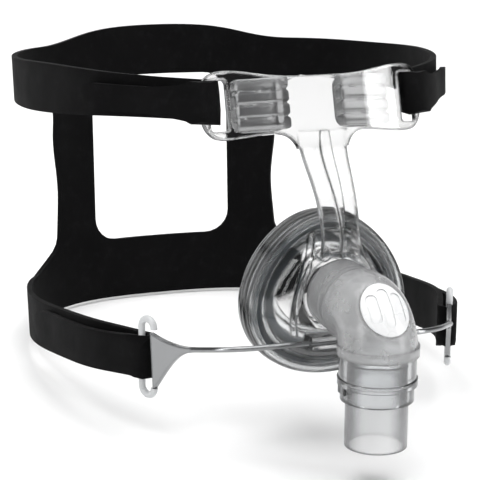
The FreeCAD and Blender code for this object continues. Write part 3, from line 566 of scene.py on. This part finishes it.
@dataclass
class ForeheadPads:
    """Two ribbed silicone pads behind the forehead plate."""

    inner_x: float = 9.2
    outer_x: float = 29.8
    half_height: float = 9.8
    depth: float = 14.8
    front_depth: float = 4.0
    plate_radius: float = 125.0
    lean_degrees: float = 17.0
    mid_y: float = -15.6
    mid_z: float = 70.6
    setback: float = 1.6         # of the body behind the ribs' fronts
    corner: float = 4.2
    ribs: int = 4
    rib_gap: float = 0.7
    rib_depth: float = 6.0
    rib_corner: float = 0.9
    flare: float = 0.075         # share by which the front is narrower than the back, from the inner end
    voxel: float = 0.4

    def _place(self, x: float, y: float, z: float) -> Point3:
        """Put a point of the upright pad on the leaning, curved plate."""
        end = math.copysign(self.outer_x, x)
        x = end + (x - end) * (1 - self.flare * (1 - y / self.depth))
        bow = self.plate_radius - math.sqrt(self.plate_radius ** 2 - x ** 2)
        tilt = math.radians(self.lean_degrees)
        local = y + bow
        return (x, self.mid_y + local * math.cos(tilt) + z * math.sin(tilt),
                self.mid_z - local * math.sin(tilt) + z * math.cos(tilt))

    def _block(self, x: Point2, y: Point2, z: Point2, corner: float) -> MeshData:
        """Rounded block as rings of a rounded rectangle along y, closed at both ends.

        Args:
            x: Lowest and highest x.
            y: Lowest and highest y.
            z: Lowest and highest z.
            corner: Radius of its edges.

        Returns:
            Points and faces.
        """
        turns = (0.0, 0.3, 0.6, 0.9, 1.2, math.pi / 2)
        stations = [(y[0] + corner * (1 - math.cos(a)), corner * (1 - math.sin(a))) for a in turns]
        stations += [(y[1] - (place - y[0]), inset) for place, inset in stations[::-1]]
        verts: list[Point3] = []
        faces: list[Face] = []
        steps = 7
        for place, inset in stations:
            for quarter, (cx, cz) in enumerate(((x[1], z[1]), (x[0], z[1]), (x[0], z[0]), (x[1], z[0]))):
                sign_x = -1 if cx == x[1] else 1
                sign_z = -1 if cz == z[1] else 1
                for step in range(steps):
                    angle = math.pi / 2 * (quarter + step / (steps - 1))
                    radius = max(corner - inset, 0.02)
                    verts.append(self._place(cx + sign_x * corner + radius * math.cos(angle), place,
                                             cz + sign_z * corner + radius * math.sin(angle)))
        around = 4 * steps
        for ring in range(len(stations) - 1):
            for step in range(around):
                after = (step + 1) % around
                faces.append((ring * around + step, ring * around + after, (ring + 1) * around + after,
                              (ring + 1) * around + step))
        faces.append(tuple(range(around)))
        faces.append(tuple(range((len(stations) - 1) * around, len(stations) * around)))
        return verts, faces

    def _blocks(self, side: Side) -> list[tuple[Point2, Point2, Point2, float]]:
        """Extents and edge radius of a pad's body and of each of its ribs."""
        across = tuple(sorted((side.value * self.inner_x, side.value * self.outer_x)))
        body_depth = (self.front_depth + self.setback, self.depth)
        rib_depth = (self.front_depth, self.front_depth + self.rib_depth)
        pitch = 2 * self.half_height / self.ribs
        half_rib = (pitch - self.rib_gap) / 2
        blocks = [(across, body_depth, (-self.half_height, self.half_height), self.corner)]
        for rib in range(self.ribs):
            centre = -self.half_height + (rib + 0.5) * pitch
            blocks.append((across, rib_depth, (centre - half_rib, centre + half_rib), self.rib_corner))
        return blocks

    def build(self) -> None:
        """Make both pads: a rounded body with ribs in front of it, melted into one."""
        for side in Side:
            verts: list[Point3] = []
            faces: list[Face] = []
            for block in self._blocks(side):
                more, sides = self._block(*block)
                start = len(verts)
                verts += more
                faces += [tuple(start + n for n in f) for f in sides]
            piece = make_object("forehead_cushion_" + side.word, verts, faces, PAD_SILICONE)
            join = piece.modifiers.new("join", "REMESH")
            join.mode = "VOXEL"
            join.voxel_size = self.voxel * MM
            join.use_smooth_shade = True
            soften = piece.modifiers.new("soften", "SMOOTH")
            soften.factor = 0.5
            soften.iterations = 4
            apply_modifiers(piece)
            finish_piece(piece, Body.MASK, "forehead_pad_" + side.word)


# Headgear


def natural_cubic(knots: np.ndarray, values: np.ndarray, at: np.ndarray) -> np.ndarray:
    """Values of a natural cubic spline.

    Args:
        knots: Places of its given points, rising.
        values: Values at those places.
        at: Places where it is wanted.

    Returns:
        One value for each wanted place.
    """
    count = len(knots)
    gaps = np.diff(knots)
    matrix = np.zeros((count, count))
    right = np.zeros(count)
    matrix[0, 0] = matrix[-1, -1] = 1
    for i in range(1, count - 1):
        matrix[i, i - 1:i + 2] = gaps[i - 1], 2 * (gaps[i - 1] + gaps[i]), gaps[i]
        right[i] = 6 * ((values[i + 1] - values[i]) / gaps[i] - (values[i] - values[i - 1]) / gaps[i - 1])
    bends = np.linalg.solve(matrix, right)
    seat = np.clip(np.searchsorted(knots, at, side="right") - 1, 0, count - 2)
    gap = gaps[seat]
    low, high = knots[seat + 1] - at, at - knots[seat]
    return (bends[seat] * low ** 3 / (6 * gap) + bends[seat + 1] * high ** 3 / (6 * gap)
            + (values[seat] / gap - bends[seat] * gap / 6) * low
            + (values[seat + 1] / gap - bends[seat + 1] * gap / 6) * high)


class PlanCurve:
    """Smooth plan outline of the headgear at one level, symmetric about the middle."""

    def __init__(self, z: float, right: Sequence[Point2], samples: int = 480) -> None:
        """Fit a natural cubic through the right half's points and their mirror images.

        Args:
            z: Level of the outline.
            right: Points of the right half from the front to the middle of the back.
            samples: Number of steps of the stored outline.
        """
        self.z = z
        points = np.array(list(right) + [(-x, y) for x, y in right[-2::-1]], float)
        steps = np.r_[0, np.cumsum(np.linalg.norm(np.diff(points, axis=0), axis=1))]
        fine = np.linspace(0, steps[-1], samples * 4)
        curve = np.stack([natural_cubic(steps, points[:, axis], fine) for axis in (0, 1)], axis=1)
        self.along = np.r_[0, np.cumsum(np.linalg.norm(np.diff(curve, axis=0), axis=1))]
        self.length = float(self.along[-1])
        self.curve = curve

    def at(self, share: float) -> Point2:
        """Point at a share of the length."""
        reach = min(max(share, 0.0), 1.0) * self.length
        return (float(np.interp(reach, self.along, self.curve[:, 0])),
                float(np.interp(reach, self.along, self.curve[:, 1])))


class Wall:
    """Standing wall through plan outlines; its length is the mean of theirs."""

    def __init__(self, levels: list[PlanCurve]) -> None:
        """Keep the outlines, from low to high."""
        self.levels = levels
        self.length = sum(level.length for level in levels) / len(levels)

    def point(self, share: float, z: float) -> Point2:
        """Point in plan at a share of the wall's length and a height."""
        index = 0
        while index < len(self.levels) - 2 and z > self.levels[index + 1].z:
            index += 1
        low, high = self.levels[index], self.levels[index + 1]
        mix = (z - low.z) / (high.z - low.z)
        a, b = low.at(share), high.at(share)
        return a[0] + (b[0] - a[0]) * mix, a[1] + (b[1] - a[1]) * mix

    def outward(self, share: float, z: float) -> Point2:
        """Outward direction in plan."""
        ahead = self.point(min(1.0, share + 0.004), z)
        behind = self.point(max(0.0, share - 0.004), z)
        dx, dy = ahead[0] - behind[0], ahead[1] - behind[1]
        size = math.hypot(dx, dy)
        return dy / size, -dx / size

    def edge_height(self, edge: Sequence[Point2], share: float) -> float:
        """Height of a band's edge, given as (y, z) points, at a share of the wall's length."""
        knots = np.array(edge, float)
        z = float(knots[:, 1].mean())
        for _ in range(3):
            y = self.point(share, z)[1]
            z = float(natural_cubic(knots[:, 0], knots[:, 1], np.array([y]))[0])
        return z

    def length_at_back(self, x: float, z: float) -> float:
        """Length along the wall where its back has an x at a height."""
        shares = np.linspace(0.0, 0.5, 160)[60:]
        xs = np.array([self.point(share, z)[0] for share in shares])
        share = float(np.interp(abs(x), xs[::-1], shares[::-1]))
        return self.length * (share if x >= 0 else 1 - share)


@dataclass
class StrapEnd:
    """A strap's front: it goes round a bar, folds back outside the band and ends in a rounded tip."""

    bar: Point3
    offset: float                # from the bar's middle to the middle of a layer
    leg: float                   # straight length beside the bar
    tail: float                  # length of the folded part along the band
    tip: Point2                  # y and z of the tip
    height: float
    lean: float                  # tangent of the bar's lean
    above: float                 # how far the strap's middle lies over the bar's middle
    taper: float                 # height of the tail near its tip over its height at the fold
    patch_from: float            # length along the tail where the hook patch begins

    @property
    def fold(self) -> float:
        """Length of the middle line round the bar."""
        return math.pi * self.offset


@dataclass
class FlatCut:
    """The laminate laid flat: s is the length along it and z the height."""

    length: float                # of the wall's whole way round
    bands: list[Band]            # lower and upper edge of each strap, tails included
    panel: list[Point2]          # right edge of the back panel, from low to high
    window: list[Point2]

    @staticmethod
    def _in_band(s: float, z: float, band: Band) -> bool:
        """Whether a flat point lies in a band."""
        low, high = band
        if not low[0][0] < s < low[-1][0]:
            return False
        return (np.interp(s, [p[0] for p in low], [p[1] for p in low]) < z
                < np.interp(s, [p[0] for p in high], [p[1] for p in high]))

    def _in_window(self, s: float, z: float) -> bool:
        """Whether a flat point lies in the window."""
        hit = False
        for (s0, z0), (s1, z1) in zip(self.window, self.window[1:] + self.window[:1]):
            if (z0 > z) != (z1 > z) and s < s0 + (s1 - s0) * (z - z0) / (z1 - z0):
                hit = not hit
        return hit

    def holds(self, s: float, z: float) -> bool:
        """Whether a flat point lies in the laminate."""
        if self._in_window(s, z):
            return False
        if any(self._in_band(s, z, band) for band in self.bands):
            return True
        edge_s, edge_z = np.array(self.panel).T
        if not edge_z[0] < z < edge_z[-1]:
            return False
        edge = float(np.interp(z, edge_z, edge_s))
        return edge < s < self.length - edge

    def _outline(self) -> tuple[list[Point2], list[tuple[int, int]]]:
        """Points of all outlines, and the edges between them."""
        lines = [(low + high[::-1], True) for low, high in self.bands]
        lines.append((self.panel, False))
        lines.append(([(self.length - s, z) for s, z in self.panel], False))
        lines.append((self.window, True))
        points: list[Point2] = []
        edges: list[tuple[int, int]] = []
        for line, closed in lines:
            start = len(points)
            points.extend(line)
            edges.extend((start + k, start + k + 1) for k in range(len(line) - 1))
            if closed:
                edges.append((len(points) - 1, start))
        return points, edges

    def triangles(self, pitch: float, heights: Point2, past_ends: float) -> tuple[list[Point2], list[Face]]:
        """Fill the cut with triangles of an even size.

        Args:
            pitch: Distance between its inner points.
            heights: Where the rows of inner points begin and end.
            past_ends: How far the rows reach past the wall's ends.

        Returns:
            Its points and its triangles.
        """
        points, edges = self._outline()
        outline = np.array(points)
        for row, z in enumerate(np.arange(*heights, pitch * ROW_SHARE)):
            shift = pitch / 2 if row % 2 else 0.0
            for s in np.arange(-past_ends + shift, self.length + past_ends, pitch):
                away = np.min(np.hypot(outline[:, 0] - s, outline[:, 1] - z))
                if away > EDGE_SHARE * pitch and self.holds(s, z):
                    points.append((float(s), float(z)))
        flat, _, triangles, *_ = delaunay_2d_cdt([Vector(p) for p in points], edges, [], 0, 1e-4)
        kept = []
        for triangle in triangles:
            centre = sum((flat[n] for n in triangle), Vector((0, 0))) / len(triangle)
            if self.holds(centre.x, centre.y):
                kept.append(triangle)
        used = sorted({n for triangle in kept for n in triangle})
        number = {old: new for new, old in enumerate(used)}
        return [(flat[n].x, flat[n].y) for n in used], [tuple(number[n] for n in t) for t in kept]


@dataclass
class Headgear:
    """One-piece laminate: top band, back panel with a window, lower straps, folds and tails."""

    thickness: float = 2.3
    gap: float = 1.35            # between a band and its folded tail
    top_z: float = 73.0
    low_z: float = -37.0
    top_plan: list[Point2] = field(default_factory=lambda: [
        (41.25, -1.46), (61.6, 20.0), (80.2, 69.0), (84.0, 104.0), (74.8, 149.0), (45.6, 182.0),
        (0.0, 191.0)])
    low_plan: list[Point2] = field(default_factory=lambda: [
        (61.96, 5.29), (70.5, 24.0), (77.5, 64.0), (80.0, 99.0), (72.0, 144.0), (46.0, 175.0), (0.0, 184.0)])
    top_upper: list[Point2] = field(default_factory=lambda: [
        (-20.0, 77.0), (16.0, 77.2), (73.0, 75.2), (130.0, 70.6), (168.0, 68.4), (184.0, 70.2), (189.5, 73.4),
        (205.0, 77.0)])
    top_lower: list[Point2] = field(default_factory=lambda: [
        (-20.0, 62.8), (16.0, 61.8), (39.0, 59.4), (88.0, 54.2), (150.0, 51.5), (205.0, 51.0)])
    low_upper: list[Point2] = field(default_factory=lambda: [
        (-10.0, -17.4), (14.0, -18.0), (39.0, -20.5), (71.0, -25.0), (120.0, -31.0), (205.0, -33.0)])
    low_lower: list[Point2] = field(default_factory=lambda: [
        (-10.0, -35.0), (9.0, -36.0), (34.0, -39.5), (64.0, -44.0), (120.0, -51.5), (205.0, -55.5)])
    panel_edge: list[Point2] = field(default_factory=lambda: [
        (68.0, 54.0), (58.5, 47.0), (54.0, 28.0), (52.4, 3.0), (53.4, -19.0), (59.5, -29.0), (74.0, -35.0)])
    window_half_width: float = 33.5
    window_z: Point2 = (-27.0, 51.0)
    window_corner: float = 11.0
    top_end: StrapEnd = field(default_factory=lambda: StrapEnd(
        (41.65, -7.42, 68.1), 3.92, 4.5, 49.0, (44.0, 67.6), 14.6, 0.306, 1.8, 0.68, 26.0))
    low_end: StrapEnd = field(default_factory=lambda: StrapEnd(
        (63.4, 0.17, -25.25), 2.85, 4.5, 92.0, (86.0, -36.6), 15.6, 0.0, 0.0, 0.92, 58.0))
    bevel: float = 0.7
    patch_length: float = 20.0
    patch_half_height: float = 3.5
    patch_thickness: float = 0.7
    pitch: float = 3.6
    mesh_heights: Point2 = (-58.0, 80.0)
    mesh_past_ends: float = 100.0
    blend_from: Point3 = (0.0, 19.2, 14.4)
    blend_to: Point3 = (0.0, -10.4, -7.8)

    def _wall(self) -> Wall:
        """Wall through outlines at four levels, as in the solid: apart in front, joined at the back."""
        levels = []
        for z, is_top in ((self.low_z - 23, False), (self.low_z + 22, False), (self.top_z - 18, True),
                          (self.top_z + 15, True)):
            share = (z - self.low_z) / (self.top_z - self.low_z)
            points = []
            for index, (top, low) in enumerate(zip(self.top_plan, self.low_plan)):
                own = np.array(top if is_top else low, float)
                through = np.array(low, float) + (np.array(top, float) - np.array(low, float)) * share
                if is_top:
                    own[1] += max(0.0, 1 - 0.5 * index) * (z - self.top_end.bar[2]) * self.top_end.lean
                points.append(tuple(own + (through - own) * min(1.0, max(0.0, (index - 1) / 3))))
            levels.append(PlanCurve(z, points))
        return Wall(levels)

    def _end_of(self, z: float) -> StrapEnd:
        """The strap end at a height."""
        return self.top_end if z > (self.top_z + self.low_z) / 2 else self.low_end

    def _tail_offset(self, end: StrapEnd, reach: float) -> float:
        """How far the tail's middle lies outside the band's middle."""
        apart = 2 * end.offset
        close = self.thickness + self.gap
        share = min(1.0, reach / (0.55 * end.tail))
        return close + (apart - close) * (1 - share * share * (3 - 2 * share))

    def place(self, wall: Wall, s: float, z: float) -> Point3:
        """Point of the laminate's middle surface.

        Args:
            wall: The wall that the laminate hangs on.
            s: Length along the laminate; the folds and tails lie past both ends of the wall.
            z: Height.

        Returns:
            The point in space.
        """
        if s > wall.length / 2:
            x, y, height = self.place(wall, wall.length - s, z)
            return -x, y, height
        if s >= 0:
            return (*wall.point(s / wall.length, z), z)
        end = self._end_of(z)
        start = wall.point(0.0, z)
        out = wall.outward(0.0, z)
        way = (-out[1], out[0])
        gone = -s
        if gone < end.leg:
            return start[0] - way[0] * gone, start[1] - way[1] * gone, z
        gone -= end.leg
        centre = (start[0] - way[0] * end.leg + out[0] * end.offset,
                  start[1] - way[1] * end.leg + out[1] * end.offset)
        if gone < end.fold:
            angle = gone / end.offset
            ahead, aside = math.sin(angle) * end.offset, -math.cos(angle) * end.offset
            return centre[0] - way[0] * ahead + out[0] * aside, centre[1] - way[1] * ahead + out[1] * aside, z
        gone -= end.fold
        if gone < end.leg:
            return (centre[0] + out[0] * end.offset + way[0] * gone,
                    centre[1] + out[1] * end.offset + way[1] * gone, z)
        reach = gone - end.leg
        share = reach / wall.length
        point = wall.point(share, z)
        side = wall.outward(share, z)
        offset = self._tail_offset(end, reach)
        return point[0] + side[0] * offset, point[1] + side[1] * offset, z

    @staticmethod
    def _tail_edges(end: StrapEnd, front: Point2) -> Band:
        """Lower and upper edge of a strap's fold and tail, as (s, z) points from the band to the tip.

        Args:
            end: The strap's end.
            front: Lower and upper height of the band where it starts.

        Returns:
            The two edges, which meet at the tip.
        """
        middle = end.bar[2] + end.above
        half = end.height / 2
        lower = [(0.0, front[0])]
        upper = [(0.0, front[1])]
        bend_end = end.leg * 2 + end.fold
        for s in (end.leg, end.leg + end.fold / 2, bend_end):
            lower.append((-s, middle - half))
            upper.append((-s, middle + half))
        steps = 26
        for step in range(1, steps + 1):
            share = step / steps
            reach = end.tail * share
            height = middle + (end.tip[1] - middle) * share
            narrow = 1 - (1 - end.taper) * min(1.0, 3 * share) ** 0.5
            into_tip = max(0.0, (share - TIP_FROM) / (1 - TIP_FROM))
            size = half * narrow * math.sqrt(max(0.0, 1 - into_tip ** 2))
            lower.append((-(bend_end + reach), height - size))
            upper.append((-(bend_end + reach), height + size))
        return lower, upper

    def _bands(self, wall: Wall) -> list[Band]:
        """Lower and upper edge of both straps, all the way round and with their tails."""
        shares = np.linspace(0, 0.5, 71)
        bands = []
        for lower, upper, end in ((self.top_lower, self.top_upper, self.top_end),
                                  (self.low_lower, self.low_upper, self.low_end)):
            low, high = ([(wall.length * s, wall.edge_height(edge, s)) for s in shares]
                         for edge in (lower, upper))
            tails = self._tail_edges(end, (low[0][1], high[0][1]))
            halves = [tail[::-1][:-1] + edge for tail, edge in zip(tails, (low, high))]
            bands.append(tuple(half + [(wall.length - s, z) for s, z in half[-2::-1]] for half in halves))
        return bands

    def _panel(self, wall: Wall) -> list[Point2]:
        """Right edge of the back panel as (s, z) points, from low to high."""
        knots = np.array(self.panel_edge, float)[::-1]
        heights = np.linspace(knots[0, 1], knots[-1, 1], 34)
        edge = natural_cubic(knots[:, 1], knots[:, 0], heights)
        return [(wall.length_at_back(x, z), float(z)) for x, z in zip(edge, heights)]

    def _window(self, wall: Wall) -> list[Point2]:
        """Rounded window as (s, z) points."""
        half, corner = self.window_half_width, self.window_corner
        low, high = self.window_z
        loop = []
        for quarter, (sx, cz) in enumerate(((1, high - corner), (-1, high - corner), (-1, low + corner),
                                            (1, low + corner))):
            for step in range(7):
                angle = math.pi / 2 * (quarter + step / 6)
                x = sx * (half - corner) + corner * math.cos(angle)
                z = cz + corner * math.sin(angle)
                loop.append((x, z))
        dense = []
        for (x0, z0), (x1, z1) in zip(loop, loop[1:] + loop[:1]):
            steps = max(1, round(math.hypot(x1 - x0, z1 - z0) / self.pitch))
            dense += [(x0 + (x1 - x0) * k / steps, z0 + (z1 - z0) * k / steps) for k in range(steps)]
        return [(wall.length_at_back(x, z), z) for x, z in dense]

    def build(self) -> None:
        """Cut the laminate flat, hang it on its wall, give it thickness and rounded edges."""
        wall = self._wall()
        cut = FlatCut(wall.length, self._bands(wall), self._panel(wall), self._window(wall))
        flat, faces = cut.triangles(self.pitch, self.mesh_heights, self.mesh_past_ends)
        verts = [self.place(wall, s, z) for s, z in flat]
        piece = make_object("headgear_laminate", verts, faces, LAMINATE)
        add_thickness(piece, self.thickness)
        rounded = piece.modifiers.new("edges", "BEVEL")
        rounded.width = self.bevel * MM
        rounded.segments = 3
        rounded.limit_method = "ANGLE"
        rounded.angle_limit = math.radians(50)
        apply_modifiers(piece)
        for polygon in piece.data.polygons:
            polygon.use_smooth = True
        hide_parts("headgear")
        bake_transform(piece)
        for label, end in (("top", self.top_end), ("lower", self.low_end)):
            for side in Side:
                verts, faces = self._hook_patch(wall, end, side)
                patch = make_object(f"{label}_hook_patch_{side.word}", verts, faces, HOOK_TAPE)
                add_thickness(patch, self.patch_thickness)
                apply_modifiers(patch)
                finish_piece(patch, Body.MASK, f"{label}_hook_tab_{side.word}")

    def _hook_patch(self, wall: Wall, end: StrapEnd, side: Side) -> MeshData:
        """Hook patch with narrower ends, halfway between a tail's end and its band.

        Args:
            wall: The wall that the laminate hangs on.
            end: The strap's end.
            side: Side of the strap.

        Returns:
            Points and faces.
        """
        columns, rows = 12, 5
        offset = (self.thickness + self.gap) / 2
        verts: list[Point3] = []
        for column in range(columns + 1):
            share = (end.patch_from + self.patch_length * column / columns) / wall.length
            from_end = min(column, columns - column) / 1.5
            half = self.patch_half_height * min(1.0, 0.55 + 0.45 * from_end)
            for row in range(rows + 1):
                z = end.tip[1] - half + 2 * half * row / rows
                x, y = wall.point(share, z)
                out = wall.outward(share, z)
                verts.append((side.value * (x + out[0] * offset), y + out[1] * offset, z))
        faces: list[Face] = []
        for column in range(columns):
            for row in range(rows):
                here = column * (rows + 1) + row
                there = here + rows + 1
                faces.append((here, here + 1, there + 1, there))
        return verts, faces


# Hard pieces that stay from the frame


@dataclass
class HardPieces:
    """Nodes of the frame that stay, each with its finish."""

    finishes: dict[str, Finish] = field(default_factory=lambda: {
        "mask_frame": CLEAR,
        "elbow": FROSTED,
        "vent_cap": VENT_PLASTIC,
        "diffuser_pad": FIBRE,
        "swivel_collar": COLLAR_CLEAR,
        "connector_tube": HAZY,
        "glider": STEEL,
        "strap_clip_left": WHITE_PLASTIC,
        "strap_clip_right": WHITE_PLASTIC,
    })

    def build(self, frame: dict) -> None:
        """Dress every node that stays.

        Args:
            frame: The loaded frame.
        """
        for node, finish in self.finishes.items():
            piece = frame["nodes"][node]
            piece.data.materials.clear()
            piece.data.materials.append(finish.build())
            LOG.info("%s dressed as %s", node, finish.slot)


# Studio and camera


@dataclass
class Studio:
    """Plain pale floor with a swept backdrop, soft lights and the photograph's camera, in metres."""

    floor_z: float = -0.0565
    half_width: float = 6.0
    curve_y: float = 1.2
    curve_radius: float = 0.8
    wall_top: float = 5.0
    lens: float = 127.05
    camera_at: Point3 = (-0.23248, -0.57962, 0.16951)
    turn: float = 19.7
    down: float = 14.0
    roll: float = 0.4

    def camera(self) -> None:
        """Put the camera at the photograph's place."""
        data = bpy.data.cameras.new("camera")
        data.lens = self.lens
        data.sensor_width = 36.0
        data.clip_start = 0.01
        data.clip_end = 20.0
        eye = bpy.data.objects.new("camera", data)
        turn, down, roll = (math.radians(a) for a in (self.turn, self.down, self.roll))
        right = Vector((math.cos(turn), -math.sin(turn), 0.0))
        ahead = Vector((math.sin(turn) * math.cos(down), math.cos(turn) * math.cos(down), -math.sin(down)))
        up = right.cross(ahead)
        right, up = right * math.cos(roll) + up * math.sin(roll), up * math.cos(roll) - right * math.sin(roll)
        frame = Matrix((right, up, -ahead)).transposed().to_4x4()
        frame.translation = Vector(self.camera_at)
        eye.matrix_world = frame
        bpy.context.scene.collection.objects.link(eye)
        bpy.context.scene.camera = eye

    def _backdrop(self) -> None:
        """Floor that curves up behind the object."""
        profile = [(-self.half_width, 0.0), (self.curve_y, 0.0)]
        for angle in np.linspace(0.15, math.pi / 2, 12):
            profile.append((self.curve_y + self.curve_radius * math.sin(angle),
                            self.curve_radius * (1 - math.cos(angle))))
        profile.append((self.curve_y + self.curve_radius, self.wall_top))
        verts = [(x / MM, y / MM, (z + self.floor_z) / MM) for y, z in profile
                 for x in (-self.half_width, self.half_width)]
        faces = [(2 * k, 2 * k + 1, 2 * k + 3, 2 * k + 2) for k in range(len(profile) - 1)]
        floor = make_object("studio_floor", verts, faces, StudioPaper("studio_paper"))

    def _light(self, name: str, place: Point3, towards: Point3, size: Point2, power: float) -> None:
        """Add one soft area light."""
        data = bpy.data.lights.new(name, "AREA")
        data.shape = "RECTANGLE"
        data.size, data.size_y = size
        data.energy = power
        lamp = bpy.data.objects.new(name, data)
        lamp.location = place
        lamp.rotation_euler = (Vector(towards) - Vector(place)).to_track_quat("-Z", "Y").to_euler()
        bpy.context.scene.collection.objects.link(lamp)

    def build(self) -> None:
        """Make the floor, the lights and the world."""
        self._backdrop()
        self._light("overhead", (0.0, -0.1, 1.3), (0.0, 0.05, 0.0), (1.8, 1.6), 30.0)
        self._light("left_box", (-1.0, -0.35, 0.45), (0.0, 0.0, 0.0), (0.25, 0.9), 4.0)
        self._light("right_box", (0.9, -0.75, 0.4), (0.0, 0.0, 0.0), (0.25, 0.9), 6.0)
        self._light("paper_wash", (0.3, 0.9, 1.2), (0.5, 1.9, 0.3), (2.4, 0.8), 12.0)
        world = bpy.data.worlds.new("studio")
        world.use_nodes = True
        back = world.node_tree.nodes["Background"]
        back.inputs["Color"].default_value = (1.0, 1.0, 1.0, 1.0)
        back.inputs["Strength"].default_value = 0.1
        bpy.context.scene.world = world
        bpy.context.scene.view_settings.view_transform = "Standard"


@dataclass(frozen=True)
class StudioPaper(Finish):
    """Matt white paper of the floor and backdrop."""

    def make(self) -> bpy.types.Material:
        """Matt white with a trace of paper grain."""
        material, tree, shader = self._start()
        shader.inputs["Base Color"].default_value = (0.93, 0.93, 0.93, 1.0)
        grain = _node(tree, "ShaderNodeGroup", node_tree=fine_grain_group())
        self._rough_from(tree, shader, grain.outputs["Uneven"], 0.8, 0.95)
        return material


# Whole mask


def main() -> None:
    """Build the studio, dress the hard pieces and make the soft ones."""
    logging.basicConfig(level=logging.INFO, format="%(name)s: %(message)s")
    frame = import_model()
    studio = Studio()
    studio.camera()
    studio.build()
    HardPieces().build(frame)
    Seal().build()
    ForeheadPads().build()
    Headgear().build()
    bpy.context.view_layer.update()


if __name__ == "__main__":
    main()
